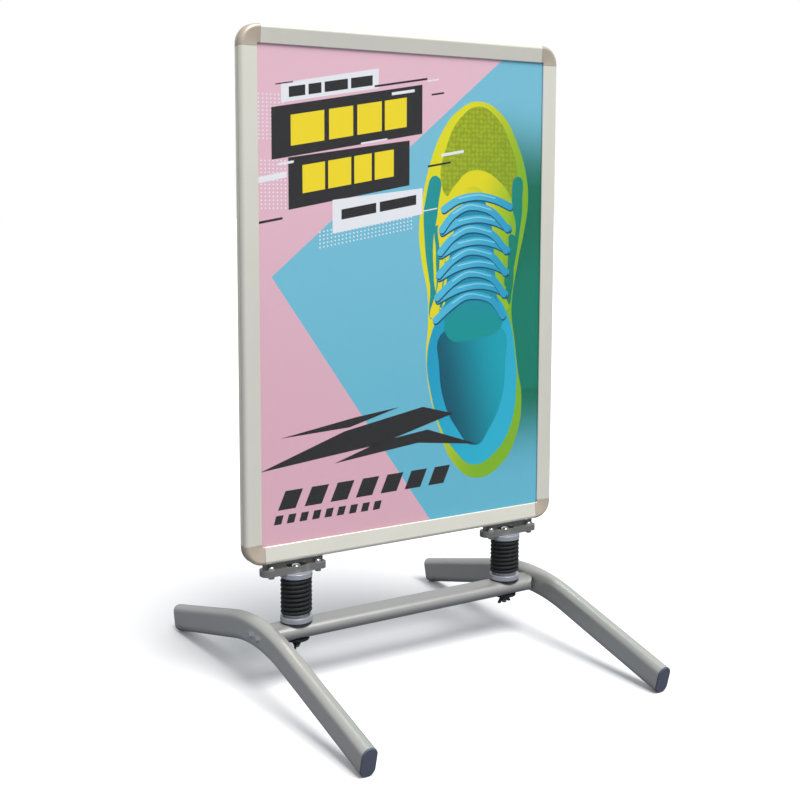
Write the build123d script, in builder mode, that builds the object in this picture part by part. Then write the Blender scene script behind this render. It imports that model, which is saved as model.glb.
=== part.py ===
"""Double-sided swing sign: a poster panel on two coil springs over a four-foot base.

Millimetres. X runs along the crossbar to the right, the front of the panel faces -Y, Z is up.
The origin is on the floor, in the middle of the footprint.
"""
from build123d import *
from math import cos, radians, sin, tan
import os

# ---- Driving sizes -------------------------------------------------------------------------
# Poster (A1) and snap frame
poster_width = 594.0
poster_height = 841.0
poster_thick = 0.4
lip_overlap = 8.5            # how far a cover hides the poster's edge
profile_width = 31.0         # visible width of one rail
face_depth = 13.5            # from the middle of the panel to the front of a rail
half_gap = 1.5               # half of the gap between the two frames
inner_corner_radius = 2.0    # inner rounding of a corner piece
corner_stub = 2.5            # straight part at each end of a corner piece
cover_gap = 0.4              # joint between a cover and a corner piece
clear_sheet_thick = 0.6
back_panel_thick = 2.0
back_panel_play = 0.5        # back panel past the poster's edge, each side

# Snap cover and base rail, in the rail's own section: u inward, d away from the mid-plane
cover_wall = 1.3
shoulder_radius = 6.5        # outer rounding of the cover
skirt_end = 5.4              # where the outer side of the cover stops
lip_outer = 10.6             # front of the lip
lip_under = 8.6              # back of the lip
lip_chamfer = 1.0
floor_thick = 1.4
ledge_width = 10.2
ledge_height = 2.4
ledge_wall = 1.2
rail_inset = 0.6             # base rail behind the edge of the opening
hinge_u = 1.8
hinge_d = 3.6
bead_radius = 1.1
bead_fit = 0.05
socket_wall = 0.85
neck_half = 0.6
web_thick = 1.2
socket_mouth = (50.0, 222.0)  # degrees left open for the neck's swing

# Base
tube_high = 50.0             # flat-oval tube, legs stand it on its narrow side
tube_thick = 26.0
tube_wall = 1.8
leg_spacing = 577.0          # between the middles of the two legs
leg_reach = 360.5            # from the crossbar to the end of a leg
leg_slope = 14.5             # degrees
leg_bend_radius = 407.0
crossbar_drop = 3.0          # crossbar below the top of the leg's arch
crossbar_round = 16.0        # rounded corners of the crossbar, seen from above
plug_length = 38.0
plug_clearance = 0.15
cap_flange = 3.0
cap_rounding = 1.5
cap_plug_length = 20.0
cap_flat = 0.6               # how much the bottom of a cap is flattened to stand on
leg_bolt_spacing = 24.0
leg_bolt_radius = 3.0
leg_bolt_grip = 30.0
leg_bolt_end_gap = 1.0

# Spring mounts
spring_spacing = 442.0
spring_outer = 54.0
spring_wire = 7.0
spring_pitch = 7.6
spring_height = 68.6
spring_seat_gap = 0.1
spring_bore_clearance = 0.2
flange_radius = 27.75
flange_height = 8.7
flange_rounding = 0.8
boss_length = 20.0
boss_chamfer = 1.5
gasket_height = 3.0
gasket_inset = 0.5
stud_radius = 5.0
stud_head_flats = 17.0
stud_head_height = 6.4
stud_recess = 8.0
stud_chamfer = 1.0
stud_tail = 5.0              # stud past the wing nut's hub
thread_clearance = 0.05
hole_clearance = 0.2
washer_radius = 22.0
washer_height = 5.0
washer_rounding = 1.5
wing_gap = 0.3
wing_hub_radius = 8.0
wing_hub_height = 9.0
wing_hub_taper = 8.0         # degrees
wing_span = 30.0
wing_drop = 14.0
wing_thick = 3.2
wing_shoulder = 3.0          # wing below the hub's top where it leaves the hub
wing_tip_width = 5.0
wing_tip_bevel = 2.0
wing_overlap = 1.0           # wing run into the hub
wing_turn = {"left": 50.0, "right": 5.0}

# Brackets between the springs and the panel
bracket_length = 121.0
bracket_width = 28.0
bracket_plate = 5.3
bracket_offset = 6.0         # bracket centre outboard of its spring
bracket_riser = 11.1         # from the plate to the underside of the frame
bracket_end_radius = 12.0
tongue_length = 113.0
tongue_grip = 26.0           # tongue inside the gap of the panel
pocket_length = 38.0
pocket_width = 19.0
pocket_height = 3.5
bolt_spacing_long = 88.0
bolt_spacing_wide = 15.0
bolt_radius = 3.0
bolt_head_flats = 10.0
bolt_head_height = 4.0
cap_nut_height = 6.3
cap_nut_hex = 3.0            # height of the hexagon under the dome
cap_nut_step = 0.3           # dome in from the flats
cap_nut_dome = 2.8
cap_nut_crown = 1.5          # metal over the end of the bolt
spring_screw_radius = 4.0
spring_screw_head = 8.0
spring_screw_head_height = 6.0
spring_screw_dome = 4.0
spring_screw_length = 24.0

# Inside the frames
key_width = 8.0
key_thick = 2.0
key_reach = 56.0
rivet_u = 16.0
rivet_radius = 2.0
rivet_head = 3.6
rivet_head_height = 1.2
rivet_fit = 0.05
bracket_rivet_spacing = 60.0
spacer_radius = 7.0
leaf_width = 7.6
leaf_u = 8.0
leaf_length = 70.0
leaf_foot = 9.0
leaf_crest = 12.0
leaf_thick = 0.8
leaf_cover_gap = 0.3

# ---- Sizes that follow ---------------------------------------------------------------------
frame_width = poster_width - 2 * lip_overlap + 2 * profile_width
frame_height = poster_height - 2 * lip_overlap + 2 * profile_width
corner_radius = profile_width + inner_corner_radius
corner_length = corner_radius + corner_stub
key_u = profile_width / 2
floor_top = half_gap + floor_thick
ledge_top = floor_top + ledge_height
poster_back = ledge_top + back_panel_thick
poster_front = poster_back + poster_thick

leg_x = leg_spacing / 2
leg_side = leg_x - tube_thick / 2                    # inner face of a leg
slope = radians(leg_slope)
leg_end_z = tube_high / 2 * cos(slope) - cap_flat
leg_peak_z = leg_end_z + leg_reach * tan(slope)      # where the straight runs would meet
leg_arch_z = leg_peak_z - leg_bend_radius * (1 / cos(slope) - 1)
crossbar_z = leg_arch_z - crossbar_drop
crossbar_length = 2 * leg_side
crossbar_top = crossbar_z + tube_thick / 2
crossbar_bottom = crossbar_z - tube_thick / 2

spring_x = spring_spacing / 2
lower_plug_z = crossbar_top + gasket_height
spring_bottom = lower_plug_z + flange_height
spring_top = spring_bottom + spring_height
spring_plate_z = spring_top + flange_height
bracket_z = spring_plate_z + bracket_plate
bracket_top = bracket_z + bracket_plate
frame_bottom = bracket_top + bracket_riser
frame_top = frame_bottom + frame_height
frame_middle = (frame_bottom + frame_top) / 2
boss_radius = spring_outer / 2 - spring_wire - spring_bore_clearance
washer_z = crossbar_bottom - washer_height
wing_top = washer_z - wing_gap

SIDES = {
    "bottom": (Vector(0, 0, frame_bottom), Vector(0, 0, 1), frame_width),
    "top": (Vector(0, 0, frame_top), Vector(0, 0, -1), frame_width),
    "left": (Vector(-frame_width / 2, 0, frame_middle), Vector(1, 0, 0), frame_height),
    "right": (Vector(frame_width / 2, 0, frame_middle), Vector(-1, 0, 0), frame_height),
}
FACES = {"front": Vector(0, -1, 0), "rear": Vector(0, 1, 0)}
HANDS = {"left": -1, "right": 1}

os.makedirs("parts", exist_ok=True)


def save(piece, label):
    """Label a finished piece and write it."""
    piece.part.label = label
    export_step(piece.part, f"parts/{label}.step")


def rail_plane(side, face, shift=0.0):
    """Section plane of a rail: x is u (inward), y is d (outward), z runs along the rail."""
    origin, inward, _ = SIDES[side]
    outward = FACES[face]
    along = inward.cross(outward)
    return Plane(origin=origin + along * shift, x_dir=inward, z_dir=along)


# ---- Where the rivets go -------------------------------------------------------------------
bracket_x = {hand: sign * (spring_x + bracket_offset) for hand, sign in HANDS.items()}
spacer_points = [
    (x_sign * (frame_width / 2 - rivet_u), frame_middle + share * frame_height)
    for x_sign in (-1, 1)
    for share in (-1 / 3, 0, 1 / 3)
]
spacer_points += [(x_sign * frame_width / 4, frame_top - rivet_u) for x_sign in (-1, 1)]
bracket_rivet_points = [
    (bracket_x[hand] + end * bracket_rivet_spacing / 2, frame_bottom + rivet_u)
    for hand in HANDS
    for end in (-1, 1)
]
rivet_points = spacer_points + bracket_rivet_points


# ---- Sections of the snap frame ------------------------------------------------------------
def cover_shell_outline(start, inner_start):
    """Draw the curved front of a rail, from the outer side round to the lip and back inside."""
    inner_radius = shoulder_radius - cover_wall
    shoulder_d = face_depth - shoulder_radius
    Line(start, (0, shoulder_d))
    CenterArc((shoulder_radius, shoulder_d), shoulder_radius, 180, -90)
    Polyline(
        (shoulder_radius, face_depth),
        (profile_width - lip_chamfer, lip_outer),
        (profile_width, lip_outer - lip_chamfer),
        (profile_width, lip_under),
        (profile_width - cover_wall, lip_under),
        (profile_width - cover_wall, lip_outer - cover_wall),
        (shoulder_radius, face_depth - cover_wall),
    )
    CenterArc((shoulder_radius, shoulder_d), inner_radius, 90, 90)
    Line((cover_wall, shoulder_d), inner_start)


def cover_section():
    """Snap cover: curved shell, web, neck and the bead it turns on."""
    web_top = skirt_end + web_thick
    neck_in = hinge_u + neck_half
    with BuildLine() as outline:
        cover_shell_outline((0, skirt_end), (cover_wall, web_top))
        Polyline(
            (cover_wall, web_top),
            (neck_in, web_top),
            (neck_in, hinge_d),
            (hinge_u - neck_half, hinge_d),
            (hinge_u - neck_half, skirt_end),
            (0, skirt_end),
        )
    make_face(outline.edges())
    with Locations((hinge_u, hinge_d)):
        Circle(bead_radius)


def base_rail_section():
    """Fixed rail: floor, ledge for the back panel and the open socket for the cover's bead."""
    reach = profile_width - rail_inset
    socket_bore = bead_radius + bead_fit
    socket_radius = socket_bore + socket_wall
    mouth_from, mouth_to = (radians(angle) for angle in socket_mouth)
    far = 2 * socket_radius
    with Locations((hinge_u, hinge_d)):
        Circle(socket_radius)
    with Locations(((hinge_u + reach) / 2, (half_gap + floor_top) / 2)):
        Rectangle(reach - hinge_u, floor_thick)
    with Locations((reach - ledge_width / 2, floor_top + ledge_height / 2)):
        Rectangle(ledge_width, ledge_height)
    with Locations((reach - ledge_width / 2, floor_top + (ledge_height - ledge_wall) / 2)):
        Rectangle(ledge_width - 2 * ledge_wall, ledge_height - ledge_wall, mode=Mode.SUBTRACT)
    with BuildLine() as outline:
        Polyline(
            (hinge_u, hinge_d),
            (hinge_u + far * cos(mouth_from), hinge_d + far * sin(mouth_from)),
            (hinge_u - far, hinge_d + far),
            (hinge_u + far * cos(mouth_to), hinge_d + far * sin(mouth_to)),
            close=True,
        )
    make_face(outline.edges(), mode=Mode.SUBTRACT)
    with Locations((hinge_u, hinge_d)):
        Circle(socket_bore, mode=Mode.SUBTRACT)


def corner_section():
    """Corner piece: the cover's outside closed by a back wall."""
    reach = profile_width - rail_inset
    with BuildLine() as outline:
        cover_shell_outline((0, half_gap), (cover_wall, floor_top))
        Polyline((cover_wall, floor_top), (reach, floor_top), (reach, half_gap), (0, half_gap))
    make_face(outline.edges())


# ---- Snap frames ---------------------------------------------------------------------------
for face in FACES:
    for side in SIDES:
        rail_length = SIDES[side][2] - 2 * corner_length
        with BuildPart() as base_rail:
            with BuildSketch(rail_plane(side, face)):
                base_rail_section()
            extrude(amount=rail_length / 2, both=True)
            with BuildSketch(Plane.XZ):
                with Locations(rivet_points):
                    Circle(rivet_radius + rivet_fit)
            extrude(amount=ledge_top, both=True, mode=Mode.SUBTRACT)
        save(base_rail, f"base_rail_{face}_{side}")

        with BuildPart() as snap_cover:
            with BuildSketch(rail_plane(side, face)):
                cover_section()
            extrude(amount=rail_length / 2 - cover_gap, both=True)
        save(snap_cover, f"snap_cover_{face}_{side}")

with BuildPart() as corner:
    # The lower left corner of the front frame: a stub, a quarter turn and a second stub.
    turn_centre = Vector(-frame_width / 2 + corner_radius, 0, frame_bottom + corner_radius)
    left_shift = frame_middle - turn_centre.Z
    with BuildSketch(rail_plane("left", "front", left_shift)):
        corner_section()
    extrude(amount=-corner_stub)
    with BuildSketch(rail_plane("left", "front", left_shift)):
        corner_section()
    revolve(axis=Axis(turn_centre, (0, -1, 0)), revolution_arc=90)
    with BuildSketch(rail_plane("bottom", "front", turn_centre.X)):
        corner_section()
    extrude(amount=corner_stub)

front_corner_set = [corner.part]
front_corner_set.append(mirror(front_corner_set[0], about=Plane.YZ))
top_plane = Plane.XY.offset(frame_middle)
front_corner_set += [mirror(piece, about=top_plane) for piece in front_corner_set[:2]]

with BuildPart() as front_corners:
    add(front_corner_set)
save(front_corners, "corner_pieces_front")

with BuildPart() as rear_corners:
    add([mirror(piece, about=Plane.XZ) for piece in front_corner_set])
save(rear_corners, "corner_pieces_rear")

with BuildPart() as corner_keys:
    # Flat angle plates that lie in the rails' channels and hold each corner square.
    arm = key_reach - key_u
    for face in FACES:
        side_sign = FACES[face].Y
        for x_sign in (-1, 1):
            for z_sign in (-1, 1):
                corner_x = x_sign * (frame_width / 2 - key_u)
                corner_z = frame_middle + z_sign * (frame_height / 2 - key_u)
                with BuildSketch(Plane.XZ.offset(-side_sign * (floor_top + key_thick / 2))):
                    with Locations((corner_x - x_sign * (arm - key_width / 2) / 2, corner_z)):
                        Rectangle(arm + key_width / 2, key_width)
                    with Locations((corner_x, corner_z - z_sign * (arm - key_width / 2) / 2)):
                        Rectangle(key_width, arm + key_width / 2)
                extrude(amount=key_thick / 2, both=True)
save(corner_keys, "corner_keys")

sheet_stack = {
    "back_panel": (ledge_top, back_panel_thick, back_panel_play),
    "poster": (poster_back, poster_thick, 0.0),
    "clear_sheet": (poster_front, clear_sheet_thick, 0.0),
}
for face in FACES:
    for sheet_name, (sheet_back, sheet_thick, sheet_play) in sheet_stack.items():
        with BuildPart() as sheet:
            with BuildSketch(Plane.XZ.offset(-FACES[face].Y * (sheet_back + sheet_thick / 2))):
                with Locations((0, frame_middle)):
                    Rectangle(poster_width + 2 * sheet_play, poster_height + 2 * sheet_play)
            extrude(amount=sheet_thick / 2, both=True)
        save(sheet, f"{sheet_name}_{face}")


def leaf_positions(side):
    """Places along a rail where a leaf spring sits: two on a short rail, three on a long one."""
    count = 2 if SIDES[side][2] == frame_width else 3
    step = (SIDES[side][2] - 2 * corner_length) / (count + 1)
    return [step * (index - (count - 1) / 2) for index in range(count)]


shell_slope = (face_depth - lip_outer) / (profile_width - lip_chamfer - shoulder_radius)
leaf_inner_edge = leaf_u + leaf_width / 2 - shoulder_radius
leaf_top = face_depth - cover_wall - shell_slope * leaf_inner_edge - leaf_cover_gap
for face in FACES:
    with BuildPart() as leaf_springs:
        # Each spring is a strip with two flat feet and a flat crest under the cover.
        for side in SIDES:
            for place in leaf_positions(side):
                section = rail_plane(side, face, place)
                strip_plane = Plane(
                    origin=section.origin + section.x_dir * leaf_u,
                    x_dir=section.z_dir,
                    z_dir=-section.x_dir,
                )
                up = 1 if strip_plane.y_dir.dot(FACES[face]) > 0 else -1
                half = leaf_length / 2
                with BuildSketch(strip_plane):
                    with BuildLine():
                        Polyline(
                            (-half, up * floor_top),
                            (leaf_foot - half, up * floor_top),
                            (-leaf_crest / 2, up * (leaf_top - leaf_thick)),
                            (leaf_crest / 2, up * (leaf_top - leaf_thick)),
                            (half - leaf_foot, up * floor_top),
                            (half, up * floor_top),
                            (half, up * (floor_top + leaf_thick)),
                            (half - leaf_foot, up * (floor_top + leaf_thick)),
                            (leaf_crest / 2, up * leaf_top),
                            (-leaf_crest / 2, up * leaf_top),
                            (leaf_foot - half, up * (floor_top + leaf_thick)),
                            (-half, up * (floor_top + leaf_thick)),
                            close=True,
                        )
                    make_face()
                extrude(amount=leaf_width / 2, both=True)
    save(leaf_springs, f"leaf_springs_{face}")

# ---- Joining the two frames ----------------------------------------------------------------
with BuildPart() as spacers:
    with BuildSketch(Plane.XZ):
        with Locations(spacer_points):
            Circle(spacer_radius)
            Circle(rivet_radius + rivet_fit, mode=Mode.SUBTRACT)
    extrude(amount=half_gap, both=True)
save(spacers, "frame_spacers")

with BuildPart() as rivets:
    with BuildSketch(Plane.XZ):
        with Locations(rivet_points):
            Circle(rivet_radius)
    extrude(amount=floor_top + rivet_head_height, both=True)
    for side_sign in (-1, 1):
        with BuildSketch(Plane.XZ.offset(side_sign * floor_top)):
            with Locations(rivet_points):
                Circle(rivet_head)
        extrude(amount=side_sign * rivet_head_height)
save(rivets, "frame_rivets")

# ---- Brackets under the panel --------------------------------------------------------------
def bolt_points(hand):
    """Centres of the four bolts of one bracket."""
    return [
        (bracket_x[hand] + along * bolt_spacing_long / 2, across * bolt_spacing_wide / 2)
        for along in (-1, 1)
        for across in (-1, 1)
    ]


for hand, sign in HANDS.items():
    with BuildPart() as bracket:
        # Upper plate, with a pocket for the spring screw's head.
        with BuildSketch(Plane.XY.offset(bracket_z)):
            with Locations((bracket_x[hand], 0)):
                RectangleRounded(bracket_length, bracket_width, bracket_end_radius)
            with Locations((sign * spring_x, 0)):
                SlotOverall(pocket_length, pocket_width, mode=Mode.SUBTRACT)
            with Locations(bolt_points(hand)):
                Circle(bolt_radius + hole_clearance, mode=Mode.SUBTRACT)
        extrude(amount=bracket_plate)
        # Tongue that stands up between the two frames.
        with BuildSketch(Plane.XZ):
            tongue_height = bracket_riser + tongue_grip
            with Locations((bracket_x[hand], bracket_top + tongue_height / 2)):
                Rectangle(tongue_length, tongue_height)
            with Locations((sign * spring_x, bracket_top + pocket_height / 2)):
                Rectangle(pocket_length, pocket_height, mode=Mode.SUBTRACT)
            with Locations(bracket_rivet_points):
                Circle(rivet_radius + rivet_fit, mode=Mode.SUBTRACT)
        extrude(amount=half_gap, both=True)
    save(bracket, f"frame_bracket_{hand}")

    with BuildPart() as spring_plate:
        with BuildSketch(Plane.XY.offset(spring_plate_z)):
            with Locations((bracket_x[hand], 0)):
                RectangleRounded(bracket_length, bracket_width, bracket_end_radius)
            with Locations((sign * spring_x, 0)):
                Circle(spring_screw_radius + hole_clearance, mode=Mode.SUBTRACT)
            with Locations(bolt_points(hand)):
                Circle(bolt_radius + hole_clearance, mode=Mode.SUBTRACT)
        extrude(amount=bracket_plate)
    save(spring_plate, f"spring_plate_{hand}")

all_bolt_points = [point for hand in HANDS for point in bolt_points(hand)]
cap_nut_bore_depth = cap_nut_height - cap_nut_crown
with BuildPart() as bracket_bolts:
    with BuildSketch(Plane.XY.offset(spring_plate_z)):
        with Locations(all_bolt_points):
            RegularPolygon(bolt_head_flats / 2, 6, major_radius=False)
    extrude(amount=-bolt_head_height)
    with BuildSketch(Plane.XY.offset(spring_plate_z)):
        with Locations(all_bolt_points):
            Circle(bolt_radius)
    extrude(amount=2 * bracket_plate + cap_nut_bore_depth - thread_clearance)
save(bracket_bolts, "bracket_bolts")

with BuildPart() as cap_nuts:
    # Domed nuts: a low hexagon under a rounded cap.
    with BuildSketch(Plane.XY.offset(bracket_top)):
        with Locations(all_bolt_points):
            RegularPolygon(bolt_head_flats / 2, 6, major_radius=False)
    extrude(amount=cap_nut_hex)
    with BuildSketch(Plane.XY.offset(bracket_top + cap_nut_hex)):
        with Locations(all_bolt_points):
            Circle(bolt_head_flats / 2 - cap_nut_step)
    extrude(amount=cap_nut_height - cap_nut_hex)
    fillet(cap_nuts.faces().sort_by(Axis.Z)[-len(all_bolt_points):].edges(), radius=cap_nut_dome)
    with BuildSketch(Plane.XY.offset(bracket_top)):
        with Locations(all_bolt_points):
            Circle(bolt_radius + thread_clearance)
    extrude(amount=cap_nut_bore_depth, mode=Mode.SUBTRACT)
save(cap_nuts, "bracket_cap_nuts")

spring_points = [(sign * spring_x, 0) for sign in HANDS.values()]
with BuildPart() as spring_screws:
    with BuildSketch(Plane.XY.offset(bracket_z)):
        with Locations(spring_points):
            Circle(spring_screw_head)
    extrude(amount=spring_screw_head_height)
    fillet(spring_screws.faces().sort_by(Axis.Z)[-2:].edges(), radius=spring_screw_dome)
    with BuildSketch(Plane.XY.offset(bracket_z)):
        with Locations(spring_points):
            Circle(spring_screw_radius)
    extrude(amount=-(bracket_plate + spring_screw_length))
save(spring_screws, "spring_screws")

# ---- Spring mounts -------------------------------------------------------------------------
for hand, sign in HANDS.items():
    centre = (sign * spring_x, 0)
    with BuildPart() as upper_plug:
        with BuildSketch(Plane.XY.offset(spring_top)):
            with Locations(centre):
                Circle(flange_radius)
        extrude(amount=flange_height)
        fillet(upper_plug.edges(), radius=flange_rounding)
        with BuildSketch(Plane.XY.offset(spring_top)):
            with Locations(centre):
                Circle(boss_radius)
        extrude(amount=-boss_length)
        chamfer(upper_plug.faces().sort_by(Axis.Z)[0].edges(), length=boss_chamfer)
        with BuildSketch(Plane.XY.offset(spring_top - boss_length)):
            with Locations(centre):
                Circle(spring_screw_radius + thread_clearance)
        extrude(amount=boss_length + flange_height, mode=Mode.SUBTRACT)
    save(upper_plug, f"upper_spring_plug_{hand}")

    with BuildPart() as lower_plug:
        with BuildSketch(Plane.XY.offset(lower_plug_z)):
            with Locations(centre):
                Circle(flange_radius)
        extrude(amount=flange_height)
        fillet(lower_plug.edges(), radius=flange_rounding)
        with BuildSketch(Plane.XY.offset(spring_bottom)):
            with Locations(centre):
                Circle(boss_radius)
        extrude(amount=boss_length)
        chamfer(lower_plug.faces().sort_by(Axis.Z)[-1].edges(), length=boss_chamfer)
        with BuildSketch(Plane.XY.offset(spring_bottom + boss_length - stud_recess)):
            with Locations(centre):
                RegularPolygon(stud_head_flats / 2 + hole_clearance, 6, major_radius=False)
        extrude(amount=stud_recess, mode=Mode.SUBTRACT)
        with BuildSketch(Plane.XY.offset(lower_plug_z)):
            with Locations(centre):
                Circle(stud_radius + thread_clearance)
        extrude(amount=flange_height + boss_length, mode=Mode.SUBTRACT)
    save(lower_plug, f"lower_spring_plug_{hand}")

    with BuildPart() as gasket:
        with BuildSketch(Plane.XY.offset(crossbar_top)):
            with Locations(centre):
                Circle(flange_radius - gasket_inset)
                Circle(stud_radius + hole_clearance, mode=Mode.SUBTRACT)
        extrude(amount=gasket_height)
    save(gasket, f"gasket_{hand}")

    with BuildPart() as stud:
        head_z = spring_bottom + boss_length - stud_recess
        stud_end = wing_top - wing_hub_height - stud_tail
        with BuildSketch(Plane.XY.offset(head_z)):
            with Locations(centre):
                RegularPolygon(stud_head_flats / 2, 6, major_radius=False)
        extrude(amount=stud_head_height)
        with BuildSketch(Plane.XY.offset(stud_end)):
            with Locations(centre):
                Circle(stud_radius)
        extrude(amount=head_z - stud_end)
        chamfer(stud.faces().sort_by(Axis.Z)[0].edges(), length=stud_chamfer)
    save(stud, f"spring_stud_{hand}")

    with BuildPart() as spring:
        coil_radius = (spring_outer - spring_wire) / 2
        coil_start = spring_bottom + spring_wire / 2 + spring_seat_gap
        coil_rise = spring_height - spring_wire - 2 * spring_seat_gap
        coil = Helix(spring_pitch, coil_rise, coil_radius, center=(sign * spring_x, 0, coil_start))
        with BuildSketch(Plane(origin=coil @ 0, z_dir=coil % 0)):
            Circle(spring_wire / 2)
        sweep(path=coil, is_frenet=True)
    save(spring, f"spring_{hand}")

    with BuildPart() as wing_nut:
        # The nut hangs under the crossbar with its two wings pointing down and apart.
        with BuildSketch(Plane.XY.offset(wing_top)):
            with Locations(centre):
                Circle(wing_hub_radius)
        extrude(amount=-wing_hub_height, taper=wing_hub_taper)
        wing_plane = Plane(
            origin=(sign * spring_x, 0, wing_top),
            x_dir=Vector(1, 0, 0).rotate(Axis.Z, wing_turn[hand]),
            z_dir=Vector(0, -1, 0).rotate(Axis.Z, wing_turn[hand]),
        )
        wing_root = stud_radius + wing_overlap
        with BuildSketch(wing_plane):
            for wing_side in (-1, 1):
                with BuildLine():
                    Polyline(
                        (wing_side * wing_root, wing_overlap - wing_shoulder),
                        (wing_side * (wing_hub_radius + wing_overlap), -wing_shoulder),
                        (wing_side * wing_span / 2, wing_tip_bevel - wing_drop),
                        (wing_side * (wing_span / 2 - wing_tip_bevel / 2), -wing_drop),
                        (wing_side * (wing_span / 2 - wing_tip_width), -wing_drop),
                        (wing_side * wing_root, wing_overlap - wing_hub_height),
                        close=True,
                    )
                make_face()
        extrude(amount=wing_thick / 2, both=True)
        with BuildSketch(Plane.XY.offset(wing_top)):
            with Locations(centre):
                Circle(stud_radius + thread_clearance)
        extrude(amount=-wing_drop, mode=Mode.SUBTRACT)
    save(wing_nut, f"wing_nut_{hand}")

with BuildPart() as washers:
    with BuildSketch(Plane.XY.offset(washer_z)):
        with Locations(spring_points):
            Circle(washer_radius)
    extrude(amount=washer_height)
    fillet(washers.faces().sort_by(Axis.Z)[:2].edges(), radius=washer_rounding)
    with BuildSketch(Plane.XY.offset(washer_z)):
        with Locations(spring_points):
            Circle(stud_radius + hole_clearance)
    extrude(amount=washer_height, mode=Mode.SUBTRACT)
save(washers, "stud_washers")

# ---- Base ----------------------------------------------------------------------------------
leg_bolt_points = [(y_sign * leg_bolt_spacing / 2, crossbar_z) for y_sign in (-1, 1)]
leg_run = leg_reach - cap_flange * cos(slope)        # where the tube itself ends
leg_run_z = leg_end_z + cap_flange * sin(slope)
bore_high = tube_high - 2 * tube_wall
bore_thick = tube_thick - 2 * tube_wall
plug_high = bore_high - 2 * plug_clearance
plug_thick = bore_thick - 2 * plug_clearance


def end_plane(x_position, y_sign):
    """Plane square to a leg at its end: z points along the tube, out of it."""
    along = Vector(0, y_sign * cos(slope), -sin(slope))
    return Plane(origin=(x_position, y_sign * leg_run, leg_run_z), x_dir=(1, 0, 0), z_dir=along)


for hand, sign in HANDS.items():
    with BuildPart() as leg:
        with BuildLine(Plane(origin=(sign * leg_x, 0, 0), x_dir=(0, 1, 0), z_dir=(1, 0, 0))) as path:
            FilletPolyline(
                (-leg_run, leg_run_z),
                (0, leg_run_z + leg_run * tan(slope)),
                (leg_run, leg_run_z),
                radius=leg_bend_radius,
            )
        with BuildSketch(end_plane(sign * leg_x, -1)):
            SlotOverall(tube_high, tube_thick, rotation=90)
            SlotOverall(bore_high, bore_thick, rotation=90, mode=Mode.SUBTRACT)
        sweep(path=path.wires()[0])
        with BuildSketch(Plane.YZ.offset(sign * leg_x)):
            with Locations(leg_bolt_points):
                Circle(leg_bolt_radius + hole_clearance)
        extrude(amount=tube_thick, both=True, mode=Mode.SUBTRACT)
    save(leg, f"leg_{hand}")

    for end_name, y_sign in (("front", -1), ("rear", 1)):
        cap_plane = end_plane(sign * leg_x, y_sign)
        with BuildPart() as cap:
            with BuildSketch(cap_plane):
                SlotOverall(tube_high, tube_thick, rotation=90)
            extrude(amount=cap_flange)
            outer_face = cap.faces().sort_by(Axis(cap_plane.origin, cap_plane.z_dir))[-1]
            fillet(outer_face.edges(), radius=cap_rounding)
            with BuildSketch(cap_plane):
                SlotOverall(plug_high, plug_thick, rotation=90)
            extrude(amount=-cap_plug_length)
            # Flat underside that the sign stands on.
            with BuildSketch(Plane.XY):
                with Locations((sign * leg_x, y_sign * leg_reach)):
                    Rectangle(2 * tube_thick, 2 * tube_high)
            extrude(amount=-tube_high, mode=Mode.SUBTRACT)
        save(cap, f"leg_cap_{end_name}_{hand}")

    with BuildPart() as end_plug:
        # Solid plug in the crossbar's end that takes the two leg bolts.
        with BuildSketch(Plane.YZ.offset(sign * (leg_side - plug_length))):
            with Locations((0, crossbar_z)):
                SlotOverall(plug_high, plug_thick)
        extrude(amount=sign * plug_length)
        with BuildSketch(Plane.XY.offset(crossbar_z)):
            RectangleRounded(crossbar_length, tube_high, crossbar_round)
        extrude(amount=tube_thick, both=True, mode=Mode.INTERSECT)
        with BuildSketch(Plane.YZ.offset(sign * leg_side)):
            with Locations(leg_bolt_points):
                Circle(leg_bolt_radius + thread_clearance)
        extrude(amount=-sign * leg_bolt_grip, mode=Mode.SUBTRACT)
    save(end_plug, f"crossbar_plug_{hand}")

with BuildPart() as crossbar:
    with BuildSketch(Plane.YZ):
        with Locations((0, crossbar_z)):
            SlotOverall(tube_high, tube_thick)
            SlotOverall(bore_high, bore_thick, mode=Mode.SUBTRACT)
    extrude(amount=crossbar_length / 2, both=True)
    with BuildSketch(Plane.XY.offset(crossbar_z)):
        RectangleRounded(crossbar_length, tube_high, crossbar_round)
    extrude(amount=tube_thick, both=True, mode=Mode.INTERSECT)
    with BuildSketch(Plane.XY.offset(crossbar_z)):
        with Locations(spring_points):
            Circle(stud_radius + hole_clearance)
    extrude(amount=tube_thick, both=True, mode=Mode.SUBTRACT)
save(crossbar, "crossbar")

with BuildPart() as leg_bolts:
    for sign in HANDS.values():
        with BuildSketch(Plane.YZ.offset(sign * (leg_x + tube_thick / 2))):
            with Locations(leg_bolt_points):
                RegularPolygon(bolt_head_flats / 2, 6, major_radius=False)
        extrude(amount=sign * bolt_head_height)
        with BuildSketch(Plane.YZ.offset(sign * (leg_x + tube_thick / 2))):
            with Locations(leg_bolt_points):
                Circle(leg_bolt_radius)
        extrude(amount=-sign * (tube_thick + leg_bolt_grip - leg_bolt_end_gap))
save(leg_bolts, "leg_bolts")
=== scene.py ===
"""Double-sided swing sign: finishes, printed posters, coil springs and a plain studio.

Metres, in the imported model's own frame: X along the crossbar, the panel's front faces -Y, Z up.
"""
import logging
from dataclasses import dataclass, field
from enum import Enum
from math import cos, hypot, pi, radians, sin

import bpy
from mathutils import Matrix, Vector


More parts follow.
